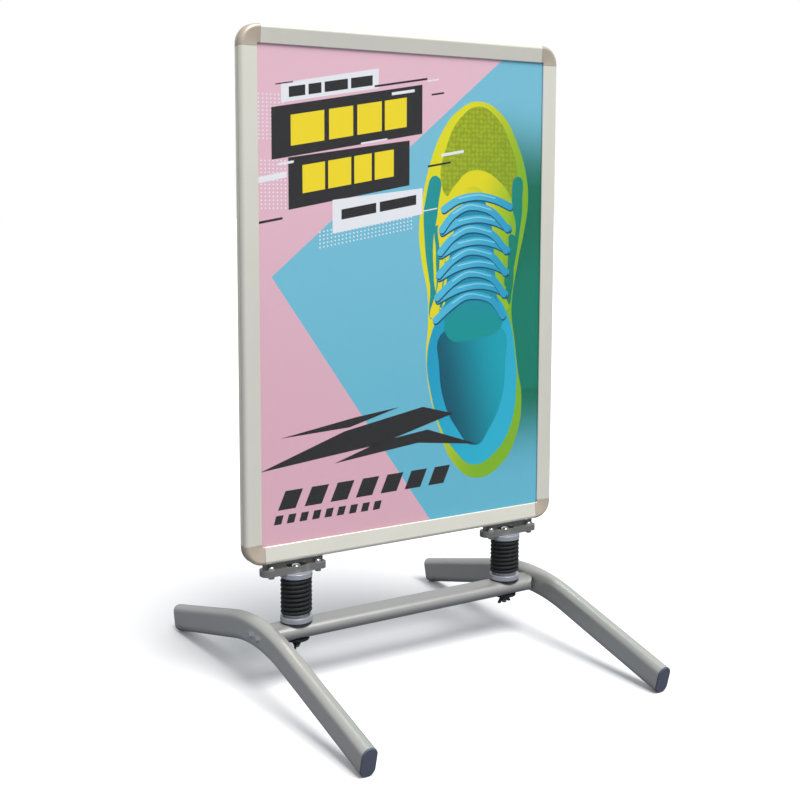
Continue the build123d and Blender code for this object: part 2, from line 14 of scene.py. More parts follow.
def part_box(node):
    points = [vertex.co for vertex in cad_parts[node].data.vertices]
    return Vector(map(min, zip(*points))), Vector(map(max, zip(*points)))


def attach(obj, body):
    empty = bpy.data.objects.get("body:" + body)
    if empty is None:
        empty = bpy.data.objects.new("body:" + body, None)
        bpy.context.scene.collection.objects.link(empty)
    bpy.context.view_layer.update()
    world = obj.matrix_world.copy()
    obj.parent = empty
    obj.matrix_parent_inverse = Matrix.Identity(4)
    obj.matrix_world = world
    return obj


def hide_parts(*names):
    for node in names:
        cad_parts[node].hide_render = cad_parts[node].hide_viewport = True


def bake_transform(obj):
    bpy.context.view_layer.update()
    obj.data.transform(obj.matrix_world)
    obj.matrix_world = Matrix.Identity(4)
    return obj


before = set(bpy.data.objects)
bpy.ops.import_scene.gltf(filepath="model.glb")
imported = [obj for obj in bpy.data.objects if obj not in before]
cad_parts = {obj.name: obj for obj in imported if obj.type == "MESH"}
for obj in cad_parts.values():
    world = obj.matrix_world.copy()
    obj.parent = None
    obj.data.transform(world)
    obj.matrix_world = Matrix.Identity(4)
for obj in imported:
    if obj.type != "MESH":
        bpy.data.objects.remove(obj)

log = logging.getLogger("swing_sign")
Colour = tuple[float, float, float]
Place = tuple[float, float, float]
Point = tuple[float, float]
MM = 0.001

BRIGHTEST = 0.95             # no surface gives back more light than this
RUB_SCALE = 38.0             # size of rubbed patches on metal, per metre
WAVE_SCALE = 45.0            # size of the shallow waves in metal
SCUFF_SCALE = 85.0           # size of scuffs on plastic


class Hand(Enum):
    """The two springs, as the viewer in front of the sign sees them."""

    LEFT = -1
    RIGHT = 1

    @property
    def label(self) -> str:
        """The hand's part of a node's name."""
        return self.name.lower()


class Face(Enum):
    """The two faces of the panel, with the turn about Z that brings the front's print to it."""

    FRONT = 0.0
    REAR = pi

    @property
    def label(self) -> str:
        """The face's part of a node's name."""
        return self.name.lower()


class Run(Enum):
    """Which way an extruded rail runs, as noise scales that draw its marks out along it."""

    ACROSS = (0.02, 1.0, 1.0)
    UPRIGHT = (1.0, 1.0, 0.02)
    NONE = (1.0, 1.0, 1.0)


def paint(red: int, green: int, blue: int) -> Colour:
    """Linear colour of an 8-bit sRGB one.

    Args:
        red, green, blue: the colour, 0 to 255.

    Returns:
        The linear colour, no channel over the brightest allowed.
    """
    linear = []
    for channel in (red, green, blue):
        share = channel / 255
        value = share / 12.92 if share <= 0.04045 else ((share + 0.055) / 1.055) ** 2.4
        linear.append(min(BRIGHTEST, value))
    return tuple(linear)


def select_only(*objects: bpy.types.Object) -> None:
    """Select these objects and nothing else, the first one active."""
    bpy.ops.object.select_all(action="DESELECT")
    for item in objects:
        item.select_set(True)
    bpy.context.view_layer.objects.active = objects[0]


# ---- Finishes --------------------------------------------------------------------------------
class ShaderTree:
    """The node tree of one material, with short calls for the nodes used here."""

    def __init__(self, name: str, uv: str | None = None) -> None:
        """Start a material.

        Args:
            name: the material's name.
            uv: a UV map to read places from, in place of Object coordinates.
        """
        self.material = bpy.data.materials.new(name)
        self.material.use_nodes = True
        self.tree = self.material.node_tree
        self.surface = self.tree.nodes["Principled BSDF"]
        if uv is None:
            self.place = self.node("TexCoord").outputs["Object"]
        else:
            self.place = self.node("UVMap", uv_map=uv).outputs["UV"]

    def node(self, kind: str, inputs: dict | None = None, **settings) -> bpy.types.Node:
        """Add a node.

        Args:
            kind: the node's type without the leading ShaderNode.
            inputs: values or sockets for its inputs, by name or number.
            **settings: the node's own properties.

        Returns:
            The new node.
        """
        made = self.tree.nodes.new("ShaderNode" + kind)
        for name, value in settings.items():
            setattr(made, name, value)
        for key, value in (inputs or {}).items():
            self.feed(made.inputs[key], value)
        return made

    def feed(self, socket: bpy.types.NodeSocket, value) -> None:
        """Link a socket, or set its value."""
        if isinstance(value, bpy.types.NodeSocket):
            self.tree.links.new(value, socket)
        else:
            socket.default_value = value

    def noise(self, scale: float, detail: float = 2.0, stretch: Place = (1, 1, 1)):
        """Noise in the material's coordinates, as a value socket."""
        spread = self.node("Mapping", {"Vector": self.place, "Scale": stretch})
        inputs = {"Vector": spread.outputs[0], "Scale": scale, "Detail": detail}
        return self.node("TexNoise", inputs).outputs[0]

    def between(self, value, low: float, high: float, to_low: float = 0.0, to_high: float = 1.0):
        """Smooth step of a value from one range to another, as a value socket."""
        inputs = {0: value, 1: low, 2: high, 3: to_low, 4: to_high}
        return self.node("MapRange", inputs, interpolation_type="SMOOTHSTEP").outputs[0]

    def times(self, first, second):
        """Product of two values."""
        return self.node("Math", {0: first, 1: second}, operation="MULTIPLY").outputs[0]

    def blend(self, share, first, second):
        """Mix of two colours, which may be sockets or linear colours."""
        mixer = self.node("Mix", {0: share}, data_type="RGBA")
        for socket, value in ((mixer.inputs[6], first), (mixer.inputs[7], second)):
            self.feed(socket, value if isinstance(value, bpy.types.NodeSocket) else (*value, 1))
        return mixer.outputs[2]

    def bump(self, height, depth: float, under=None):
        """Bump of a given depth in metres, over another normal if one is given."""
        inputs = {"Height": height, "Distance": depth, "Strength": 1.0}
        if under is not None:
            inputs["Normal"] = under
        return self.node("Bump", inputs).outputs[0]

    def set(self, **inputs) -> None:
        """Set or link the surface's inputs, each named with underscores for spaces."""
        for name, value in inputs.items():
            self.feed(self.surface.inputs[name.replace("_", " ")], value)


@dataclass(frozen=True)
class CoatedMetal:
    """Anodised, painted or plated metal: drifting colour, fine grain, faint rubs and dust."""

    name: str
    colour: Colour
    roughness: float = 0.4
    metallic: float = 0.0
    drift: float = 0.08          # how far the colour wanders
    drift_scale: float = 9.0
    grain_scale: float = 700.0
    grain_depth: float = 0.00003
    run: Run = Run.NONE          # extrusion lines, drawn out along a rail
    rub: float = 0.15            # strength of the paler rubbed patches
    soil_height: float = 0.0     # dust gathers below this height
    soil: Colour = (0.20, 0.17, 0.13)

    def make(self) -> bpy.types.Material:
        """Build the material."""
        shader = ShaderTree(self.name)
        wander = shader.noise(self.drift_scale, 4.0)
        dark = tuple(channel * (1 - self.drift) for channel in self.colour)
        light = tuple(min(BRIGHTEST, channel * (1 + self.drift)) for channel in self.colour)
        colour = shader.blend(wander, dark, light)
        lines = shader.noise(self.grain_scale, 2.0, self.run.value)
        patches = shader.noise(RUB_SCALE, 6.0, (1, 1, 0.5))
        rubbed = shader.between(patches, 0.60, 0.78, 0.0, self.rub)
        pale = tuple(min(BRIGHTEST, 0.55 * channel + 0.38) for channel in self.colour)
        colour = shader.blend(rubbed, colour, pale)
        rough = shader.between(shader.noise(60.0, 3.0), 0.3, 0.7, -0.02, 0.04)
        rough = shader.node("Math", {0: rough, 1: self.roughness}, operation="ADD").outputs[0]
        if self.soil_height > 0:
            height = shader.node("SeparateXYZ", {0: shader.place}).outputs[2]
            low = shader.between(height, self.soil_height, 0.0)
            dust = shader.times(low, shader.between(shader.noise(55.0, 6.0), 0.35, 0.75, 0.1, 0.8))
            colour = shader.blend(dust, colour, self.soil)
            rough = shader.node("Math", {0: rough, 1: shader.times(dust, 0.3)}).outputs[0]
        normal = shader.bump(lines, self.grain_depth)
        normal = shader.bump(shader.noise(WAVE_SCALE, 3.0), self.grain_depth * 2, normal)
        shader.set(Base_Color=colour, Metallic=self.metallic, Roughness=rough, Normal=normal)
        return shader.material


@dataclass(frozen=True)
class Moulded:
    """Plastic, rubber or card: fine leather-like grain, scuffs and a little colour drift."""

    name: str
    colour: Colour
    roughness: float = 0.55
    grain_scale: float = 420.0
    grain_depth: float = 0.00008
    scuff: float = 0.35
    opacity: float = 1.0

    def make(self) -> bpy.types.Material:
        """Build the material."""
        shader = ShaderTree(self.name)
        dark = tuple(channel * 0.86 for channel in self.colour)
        colour = shader.blend(shader.noise(16.0, 5.0), dark, self.colour)
        marks = shader.noise(SCUFF_SCALE, 7.0, (1, 0.4, 1))
        scuffed = shader.between(marks, 0.58, 0.74, 0, self.scuff)
        pale = tuple(0.6 * channel + 0.16 for channel in self.colour)
        colour = shader.blend(scuffed, colour, pale)
        rough = shader.between(shader.noise(50.0, 4.0), 0.3, 0.7, self.roughness - 0.07,
                               self.roughness + 0.07)
        grain = shader.node("TexVoronoi", {"Vector": shader.place, "Scale": self.grain_scale})
        normal = shader.bump(grain.outputs[0], self.grain_depth)
        shader.set(Base_Color=colour, Roughness=rough, Normal=normal, Alpha=self.opacity)
        return shader.material


@dataclass(frozen=True)
class Ink:
    """Printed colour on paper, plain or fading to a second one across the sheet."""

    name: str
    colour: Colour
    second: Colour | None = None
    fade_from: Point = (0.0, 0.0)        # on the sheet, millimetres from its middle
    fade_to: Point = (0.0, 1.0)
    knit: float = 0.0                    # strength of a knitted pattern in the picture
    knit_scale: float = 120.0

    def make(self) -> bpy.types.Material:
        """Build the material. It reads the sheet's own UV map, in metres."""
        shader = ShaderTree("ink_" + self.name, uv="sheet")
        colour = shader.blend(0.0, self.colour, self.colour)
        if self.second is not None:
            start = Vector((*self.fade_from, 0)) * MM
            span = Vector((*self.fade_to, 0)) * MM - start
            offset = shader.node("VectorMath", {0: shader.place, 1: start}, operation="SUBTRACT")
            along = shader.node("VectorMath", {0: offset.outputs[0], 1: span / span.length},
                                operation="DOT_PRODUCT")
            share = shader.between(along.outputs["Value"], 0.0, span.length)
            colour = shader.blend(share, self.colour, self.second)
        if self.knit:
            cells = shader.node("TexVoronoi", {"Vector": shader.place, "Scale": self.knit_scale,
                                               "Randomness": 0.35})
            deep = tuple(channel * 0.45 for channel in self.colour)
            shade = shader.between(cells.outputs[0], 0.15, 0.65, 0.0, self.knit)
            colour = shader.blend(shade, colour, deep)
        flecks = shader.between(shader.noise(1500.0, 2.0), 0.35, 0.7, 0.0, 0.3)
        pale = tuple(min(BRIGHTEST, channel * 1.12 + 0.004) for channel in self.colour)
        colour = shader.blend(shader.times(flecks, 0.3), colour, pale)
        rough = shader.between(shader.noise(120.0, 3.0), 0.3, 0.7, 0.5, 0.62)
        shader.set(Base_Color=colour, Roughness=rough, Specular_IOR_Level=0.25,
                   Normal=shader.bump(shader.noise(900.0, 3.0), 0.00002))
        return shader.material


def dress(node: str, finish: bpy.types.Material) -> None:
    """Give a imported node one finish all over."""
    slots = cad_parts[node].material_slots
    for slot in slots:
        slot.material = finish
    if not slots:
        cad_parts[node].data.materials.append(finish)


def dress_all(starts: tuple[str, ...], finish: bpy.types.Material) -> int:
    """Dress every node whose name starts with one of these words.

    Args:
        starts: beginnings of node names.
        finish: the material they get.

    Returns:
        How many nodes were dressed.
    """
    found = [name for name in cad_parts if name.startswith(starts)]
    for name in found:
        dress(name, finish)
    return len(found)


# ---- Panel -----------------------------------------------------------------------------------
@dataclass
class SnapFrames:
    """Both snap frames with what is inside them, all of it carried over and dressed."""

    silver: Colour = paint(233, 230, 215)
    corner: Colour = paint(190, 177, 158)
    roughness: float = 0.3

    def build(self) -> None:
        """Dress rails, corners, sheets and the hidden fixings."""
        across = CoatedMetal("anodised_across", self.silver, self.roughness, 0.4, run=Run.ACROSS,
                             rub=0.05, drift=0.04, grain_scale=1200.0, grain_depth=0.00001).make()
        upright = CoatedMetal("anodised_upright", self.silver, self.roughness, 0.4,
                              run=Run.UPRIGHT, rub=0.05, drift=0.04, grain_scale=1200.0,
                              grain_depth=0.00001).make()
        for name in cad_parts:
            if name.startswith(("snap_cover", "base_rail")):
                dress(name, upright if name.endswith(("left", "right")) else across)
        corners = CoatedMetal("cast_corner", self.corner, 0.38, 0.25, drift=0.05, rub=0.2,
                              grain_scale=900.0, grain_depth=0.00002).make()
        log.info("corner pieces: %d", dress_all(("corner_pieces",), corners))
        hidden = CoatedMetal("zinc_plate", paint(170, 172, 170), 0.4, 0.8, drift=0.15,
                             drift_scale=60.0).make()
        dress_all(("corner_keys", "leaf_springs", "frame_rivets", "frame_spacers"), hidden)
        card = Moulded("back_panel_card", paint(176, 178, 180), 0.6, 300.0, 0.00003, 0.1).make()
        dress_all(("back_panel",), card)
        film = Moulded("clear_film", paint(120, 126, 132), 0.22, 900.0, 0.000002, 0.0, 0.03).make()
        dress_all(("clear_sheet",), film)


@dataclass(frozen=True)
class Patch:
    """One printed shape: its ink, its outline on the sheet in millimetres, and its layer."""

    ink: str
    outline: tuple[Point, ...]
    layer: int = 1
    rounded: bool = False


def smooth(path: tuple[Point, ...], steps: int = 5) -> list[Point]:
    """Even curve through a few points.

    Args:
        path: at least two points.
        steps: points made for each stretch between two of them.

    Returns:
        The points along the curve, both ends included.
    """
    made = []
    padded = (path[0], *path, path[-1])
    for index in range(len(path) - 1):
        before, start, end, after = padded[index:index + 4]
        for step in range(steps):
            t = step / steps
            made.append(tuple(
                0.5 * (2 * q + (r - p) * t + (2 * p - 5 * q + 4 * r - s) * t ** 2
                       + (3 * q - p - 3 * r + s) * t ** 3)
                for p, q, r, s in zip(before, start, end, after)))
    made.append(path[-1])
    return made


def band(path: tuple[Point, ...], width: float) -> tuple[Point, ...]:
    """Outline of a round-ended band of one width laid along a smoothed path.

    Args:
        path: at least two points.
        width: the band's width.

    Returns:
        The outline, once round.
    """
    line = smooth(path)
    left, right, ends = [], [], []
    for index, (x, z) in enumerate(line):
        before, after = line[max(index - 1, 0)], line[min(index + 1, len(line) - 1)]
        run_x, run_z = after[0] - before[0], after[1] - before[1]
        reach = width / 2 / hypot(run_x, run_z)
        run_x, run_z = run_x * reach, run_z * reach
        left.append((x - run_z, z + run_x))
        right.append((x + run_z, z - run_x))
        if index in (0, len(line) - 1):
            out = -1 if index == 0 else 1
            ends.append([(x + out * (cos(turn) * run_x - sin(turn) * run_z),
                          z + out * (cos(turn) * run_z + sin(turn) * run_x))
                         for turn in (radians(60), radians(30), 0.0, radians(-30), radians(-60))])
    return tuple(left + ends[1] + right[::-1] + ends[0])


def slanted(x: float, z: float, wide: float, high: float, rise: float = 0.165,
            lean: float = 0.0) -> tuple[Point, ...]:
    """A bar whose top and bottom climb to the right.

    Args:
        x, z: its lower left corner.
        wide, high: its size.
        rise: how steeply it climbs.
        lean: how far its top is pushed right, as a share of its height.

    Returns:
        Its four corners.
    """
    push = lean * high
    return ((x, z), (x + wide, z + rise * wide), (x + wide + push, z + rise * wide + high),
            (x + push, z + high))


@dataclass
class PosterPrint:
    """A printed sheet: two-colour ground, plain banners, a trainer seen from above."""

    width: float = 594.0
    height: float = 841.0
    back: float = 7.3            # back of the paper from the panel's middle
    paper: float = 7.52          # front of the bare paper
    step: float = 0.011          # each ink layer stands this far over the one before
    inks: dict[str, Ink] = field(default_factory=lambda: {ink.name: ink for ink in (
        Ink("pink", paint(234, 190, 203), paint(219, 172, 185), (0, 400), (-150, -400)),
        Ink("blue", paint(120, 194, 215), paint(100, 182, 205), (0, 300), (100, -400)),
        Ink("shadow_blue", paint(119, 193, 214), paint(0, 112, 84), (275, 340), (255, 190)),
        Ink("shadow_heel", paint(0, 112, 84), paint(101, 183, 206), (275, -190), (275, -350)),
        Ink("shadow_green", paint(0, 112, 84), paint(0, 124, 100), (240, 100), (290, 0)),
        Ink("black", paint(40, 38, 38)),
        Ink("white", paint(236, 237, 240)),
        Ink("yellow", paint(246, 220, 30)),
        Ink("sole", paint(228, 222, 24), paint(120, 178, 30), (60, 100), (240, 60)),
        Ink("knit", paint(172, 190, 22), paint(150, 178, 26), (90, 300), (220, 200),
            knit=0.55),
        Ink("stay", paint(232, 220, 20), paint(142, 190, 32), (110, 120), (205, 80)),
        Ink("teal", paint(20, 150, 150), paint(0, 128, 96), (40, 100), (240, 0)),
        Ink("collar", paint(24, 158, 194), paint(40, 178, 206), (40, -100), (230, -200)),
        Ink("lining", paint(0, 84, 104), paint(10, 164, 182), (70, -200), (215, -160)),
        Ink("tongue", paint(24, 140, 172), paint(0, 150, 148), (140, 60), (140, -80)),
        Ink("lace", paint(84, 190, 220), paint(36, 158, 196), (60, 100), (220, 60)),
        Ink("glint", paint(150, 220, 236), paint(100, 196, 222), (60, 100), (220, 60)),
        Ink("deep", paint(14, 84, 112)),
    )})
    trainer: tuple[Point, ...] = (
        (145, 337), (100, 318), (70, 285), (44, 230), (28, 170), (20, 110), (26, 55), (38, 0),
        (40, -55), (36, -115), (44, -180), (66, -250), (95, -312), (148, -348), (205, -328),
        (240, -275), (250, -205), (240, -150), (232, -95), (224, -40), (238, 50), (250, 100),
        (259, 155), (254, 208), (234, 262), (198, 315))

    def patches(self) -> list[Patch]:
        """Every printed shape, lowest first."""
        half_wide, half_high = self.width / 2, self.height / 2
        made = [Patch("blue", ((-266, 38), (207, half_high), (half_wide, half_high),
                               (half_wide, -half_high), (52, -half_high)), 1)]
        made += self.shadow() + self.shoe() + self.banners() + self.streaks()
        return made

    def shadow(self) -> list[Patch]:
        """The shadow that falls to the right of the trainer, fading at both ends."""
        edge = self.width / 2
        return [
            Patch("shadow_blue", ((170, 330), (235, 345), (edge, 330), (edge, 190), (150, 190)), 2),
            Patch("shadow_green", ((150, 190), (edge, 190), (edge, -190), (150, -190)), 2),
            Patch("shadow_heel", ((150, -190), (edge, -190), (edge, -350), (190, -350)), 2),
        ]

    def shoe(self) -> list[Patch]:
        """A plain sports shoe: sole, knitted toe, stays, collar, lining, tongue and laces."""
        made = [
            Patch("sole", self.trainer, 3, True),
            Patch("knit", ((146, 328), (104, 304), (78, 258), (66, 196), (84, 168), (110, 204),
                           (145, 216), (188, 200), (224, 166), (232, 222), (214, 270),
                           (188, 308)), 4, True),
            Patch("teal", ((34, 165), (56, 205), (60, 150), (50, 90), (52, 20), (54, -50),
                           (44, 10), (32, 90)), 5, True),
            Patch("teal", ((222, 160), (236, 205), (246, 160), (240, 100), (226, 30), (216, 0),
                           (220, 60), (232, 110)), 5, True),
            Patch("teal", ((62, 120), (76, 60), (72, 10), (62, -30), (58, 20), (56, 70)), 6, True),
            Patch("teal", ((222, 100), (228, 40), (224, -10), (216, -30), (214, 20),
                           (216, 70)), 6, True),
            Patch("stay", ((143, 214), (190, 198), (222, 156), (214, 110), (204, 60), (202, 0),
                           (214, -40), (188, -18), (180, 60), (170, 130), (142, 186), (104, 160),
                           (86, 110), (74, 50), (66, -10), (52, -50), (60, 10), (64, 70),
                           (60, 120), (78, 164), (104, 196)), 7, True),
            Patch("collar", ((80, -18), (50, -66), (38, -118), (46, -178), (66, -240), (100, -292),
                             (142, -322), (190, -304), (222, -264), (237, -195), (232, -112),
                             (216, -50), (186, -12), (140, -2)), 8, True),
            Patch("lining", ((66, -78), (64, -132), (74, -195), (100, -246), (146, -286),
                             (176, -258), (204, -204), (211, -140), (206, -76), (140, -64)),
                  9, True),
            Patch("tongue", ((140, 172), (110, 150), (92, 100), (82, 40), (76, -30), (84, -84),
                             (140, -88), (202, -68), (190, -10), (184, 50), (178, 110),
                             (166, 152)), 10, True),
        ]
        for row in range(5):
            drop = 40 * row
            left, right = 72 - 3 * row, 212 - 2 * row
            under = ((left, 146 - drop), (104, 163 - drop), (146, 169 - drop), (184, 163 - drop),
                     (right + 6, 150 - drop))
            over = ((left - 4, 110 - drop), (92, 136 - drop), (128, 151 - drop),
                    (176, 142 - drop), (right, 110 - drop))
            for path, layer in ((under, 12), (over, 15)):
                low = tuple((x + 1, z - 3) for x, z in path)
                high = tuple((x, z + 2.5) for x, z in path[1:-1])
                made.append(Patch("deep", band(low, 13), layer - 1))
                made.append(Patch("lace", band(path, 13), layer))
                made.append(Patch("glint", band(high, 2.5), layer + 1))
        return made

    def banners(self) -> list[Patch]:
        """Pale labels and black banners, filled with plain bars in place of any words."""
        made = [
            Patch("white", ((-246, 320), (-62, 351), (-62, 384), (-246, 351)), 3),
            Patch("black", ((-264, 228), (26, 277), (26, 361), (-264, 312)), 4),
            Patch("black", ((-234, 147), (0, 188), (0, 265), (-234, 232)), 4),
            Patch("white", ((-152, 107), (27, 138), (27, 183), (-152, 163)), 10),
        ]
        for x, wide in ((-232, 30), (-196, 24), (-166, 44), (-116, 42)):
            made.append(Patch("black", slanted(x, 329 + 0.165 * (x + 232), wide, 17), 5))
        for x, wide in ((-229, 62), (-158, 46), (-104, 48), (-50, 44)):
            made.append(Patch("yellow", slanted(x, 251 + 0.165 * (x + 229), wide, 50), 6))
        for x, wide in ((-208, 42), (-160, 44), (-110, 34), (-70, 38)):
            made.append(Patch("yellow", slanted(x, 174 + 0.165 * (x + 208), wide, 46), 6))
        for x, wide in ((-135, 68), (-60, 74)):
            made.append(Patch("black", slanted(x, 130 + 0.165 * (x + 135), wide, 17), 11))
        made += [
            Patch("black", slanted(-70, 352, 106, 3.5), 5),
            Patch("white", slanted(-36, 340, 46, 5), 6),
            Patch("black", slanted(-256, 348, 32, 2), 6),
            Patch("black", slanted(-297, 123, 52, 4), 5),
            Patch("white", slanted(-297, 188, 60, 10, 0.2), 5),
            Patch("white", slanted(-252, 219, 28, 4), 6),
            Patch("white", slanted(-97, 256, 52, 3), 6),
            Patch("white", slanted(28, 142, 30, 2), 11),
            Patch("black", slanted(45, 343, 26, 3), 5),
            Patch("white", slanted(36, 366, 24, 2.5), 5),
            Patch("white", slanted(66, 238, 48, 5), 6),
            Patch("black", slanted(38, 219, 48, 3.5), 6),
        ]
        return made

    def streaks(self) -> list[Patch]:
        """Three dark speed streaks over a row of leaning bars, low on the sheet."""
        made = [
            Patch("black", ((-290, -285), (-60, -262), (96, -222), (30, -204), (-130, -232)), 10),
            Patch("black", ((-252, -232), (-120, -226), (-20, -200), (-110, -210)), 10),
            Patch("black", ((-150, -286), (20, -268), (150, -284), (40, -246), (-60, -258)), 10),
        ]
        for index in range(7):
            x = -258 + 50 * index
            made.append(Patch("black", slanted(x, -354 + 0.9 * index, 33, 32, 0.02, 0.45), 10))
        for index in range(9):
            made.append(Patch("black", slanted(-266 + 24 * index, -378, 14, 15, 0.02, 0.3), 10))
        return made

    def shape(self, patch: Patch, finish: bpy.types.Material) -> bpy.types.Object:
        """One printed shape as a thin solid lying on the XY plane, with the sheet's UV map."""
        front = self.paper + self.step * patch.layer
        half = (front - self.back - 0.1) / 2 * MM
        curve = bpy.data.curves.new("patch", "CURVE")
        curve.dimensions, curve.fill_mode = "2D", "BOTH"
        curve.extrude, curve.resolution_u = half, 5
        spline = curve.splines.new("BEZIER")
        spline.bezier_points.add(len(patch.outline) - 1)
        spline.use_cyclic_u = True
        for point, (x, z) in zip(spline.bezier_points, patch.outline):
            point.co = (x * MM, z * MM, 0)
            kind = "AUTO" if patch.rounded else "VECTOR"
            point.handle_left_type = point.handle_right_type = kind
        if not patch.rounded:
            spline.resolution_u = 1
        piece = bpy.data.objects.new("patch", curve)
        bpy.context.scene.collection.objects.link(piece)
        select_only(piece)
        bpy.ops.object.convert(target="MESH")
        piece = bpy.context.view_layer.objects.active
        piece.data.transform(Matrix.Translation((0, 0, front * MM - half)))
        piece.data.materials.clear()
        piece.data.materials.append(finish)
        return piece

    def dots(self, finish: bpy.types.Material) -> list[bpy.types.Object]:
        """Half-tone dots beside and under the banners, one dot arrayed twice for each field."""
        fields = (((-286, 262), 7, 12, 0.0), ((-290, 150), 8, 13, 0.0), ((-176, 84), 26, 5, 0.165))
        made = []
        for (x, z), columns, rows, rise in fields:
            bpy.ops.object.select_all(action="DESELECT")
            bpy.ops.mesh.primitive_circle_add(vertices=8, radius=1.5 * MM, fill_type="NGON",
                                              location=(x * MM, z * MM, (self.paper + 0.04) * MM))
            dot = bpy.context.active_object
            bpy.ops.object.transform_apply(location=True, rotation=True, scale=True)
            for count, shift in ((columns, (7.2, 7.2 * rise)), (rows, (0.0, 6.4))):
                array = dot.modifiers.new("row", "ARRAY")
                array.count, array.use_relative_offset = count, False
                array.use_constant_offset = True
                array.constant_offset_displace = (shift[0] * MM, shift[1] * MM, 0)
                bpy.ops.object.modifier_apply(modifier=array.name)
            dot.data.materials.append(finish)
            made.append(dot)
        return made

    def sheet(self, finish: bpy.types.Material) -> bpy.types.Object:
        """The paper itself: a plane given its thickness, with a narrow bevel round its edge."""
        bpy.ops.object.select_all(action="DESELECT")
        bpy.ops.mesh.primitive_plane_add(size=1, location=(0, 0, self.back * MM))
        paper = bpy.context.active_object
        paper.scale = (self.width * MM, self.height * MM, 1)
        bpy.ops.object.transform_apply(location=True, rotation=True, scale=True)
        bpy.ops.object.mode_set(mode="EDIT")
        bpy.ops.mesh.select_all(action="SELECT")
        bpy.ops.mesh.extrude_region_move(
            TRANSFORM_OT_translate={"value": (0, 0, (self.paper - self.back) * MM)})
        bpy.ops.mesh.select_all(action="SELECT")
        bpy.ops.mesh.normals_make_consistent(inside=False)
        bpy.ops.object.mode_set(mode="OBJECT")
        bevel = paper.modifiers.new("edge", "BEVEL")
        bevel.width, bevel.segments = 0.05 * MM, 1
        bpy.ops.object.modifier_apply(modifier=bevel.name)
        paper.data.materials.append(finish)
        return paper

    def build(self) -> None:
        """Print one sheet, then hang a copy of it on each face in place of the plain one."""
        finishes = {name: ink.make() for name, ink in self.inks.items()}
        parts = [self.sheet(finishes["pink"])]
        parts += [self.shape(patch, finishes[patch.ink]) for patch in self.patches()]
        parts += self.dots(finishes["white"])
        for part in parts:
            for layer in list(part.data.uv_layers):
                part.data.uv_layers.remove(layer)
            uv = part.data.uv_layers.new(name="sheet")
            for loop in part.data.loops:
                place = part.data.vertices[loop.vertex_index].co
                uv.data[loop.index].uv = (place.x, place.y)
        select_only(*parts)
        bpy.ops.object.join()
        printed = bpy.context.active_object
        low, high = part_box("poster_front")
        middle = (low.z + high.z) / 2
        stand = Matrix.Translation((0, 0, middle)) @ Matrix.Rotation(pi / 2, 4, "X")
        for face in Face:
            piece = printed if face is Face.REAR else printed.copy()
            if face is Face.FRONT:
                piece.data = printed.data.copy()
                bpy.context.scene.collection.objects.link(piece)
            piece.data.transform(Matrix.Rotation(face.value, 4, "Z") @ stand)
            piece.name = f"poster_print_{face.label}"
            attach(piece, "panel")
            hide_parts(f"poster_{face.label}")
            log.info("%s: %d faces", piece.name, len(piece.data.polygons))


